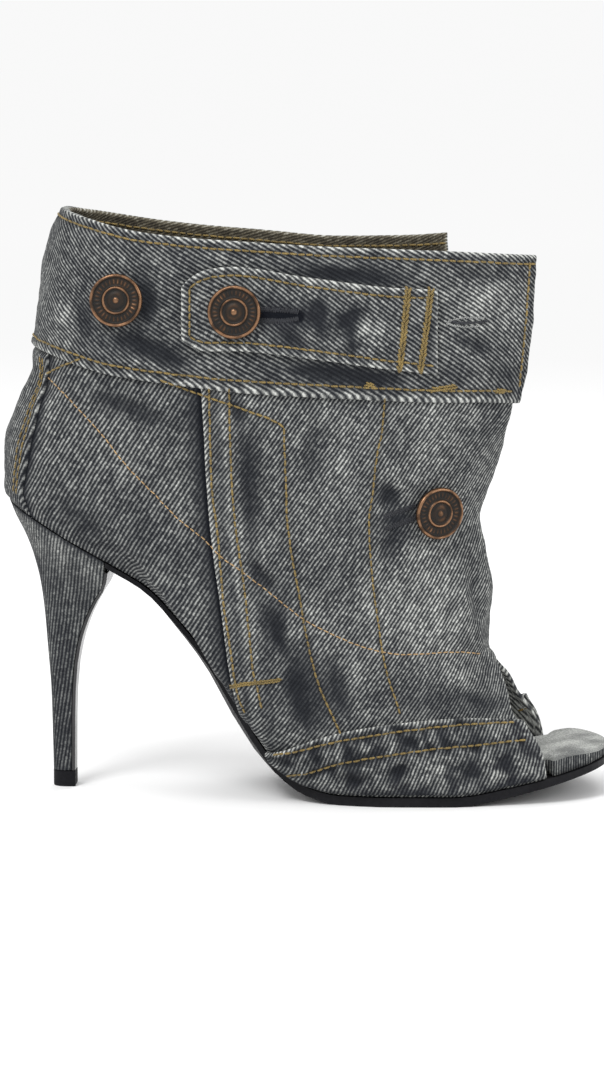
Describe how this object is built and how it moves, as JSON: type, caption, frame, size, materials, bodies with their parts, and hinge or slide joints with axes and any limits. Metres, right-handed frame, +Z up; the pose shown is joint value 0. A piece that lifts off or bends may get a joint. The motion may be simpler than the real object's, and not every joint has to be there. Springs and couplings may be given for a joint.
{
  "type": "peep toe ankle boot",
  "caption": "Stiletto-heeled peep toe ankle boot of washed denim, with a buttoned waistband collar, a side tab and a lapped front.",
  "frame": {"origin": "the tread's flat spot under the ball of the foot, on the floor", "axes": "+X towards the toe, +Y towards the inner side of the foot, +Z up"},
  "size_m": [0.217, 0.0796, 0.2085],
  "materials": {
    "denim": "stone-washed grey-black twill",
    "heel_denim": "fine grey denim stretched over a hard heel",
    "sock_denim": "light grey denim over a padded footbed",
    "black_leather": "semi-gloss",
    "heel_tip": "satin",
    "aged_copper": "antiqued"
  },
  "bodies": {
    "root": {"outsole": "black_leather", "insole": "sock_denim", "heel": "heel_denim", "breast_cover": "black_leather", "top_piece": "heel_tip", "upper": "denim", "collar_band": "denim", "vamp_band_outer": "denim", "vamp_band_inner": "denim", "tab": "denim", "button_band": "aged_copper", "button_tab": "aged_copper", "button_placket": "aged_copper"}
  },
  "joints": []
}
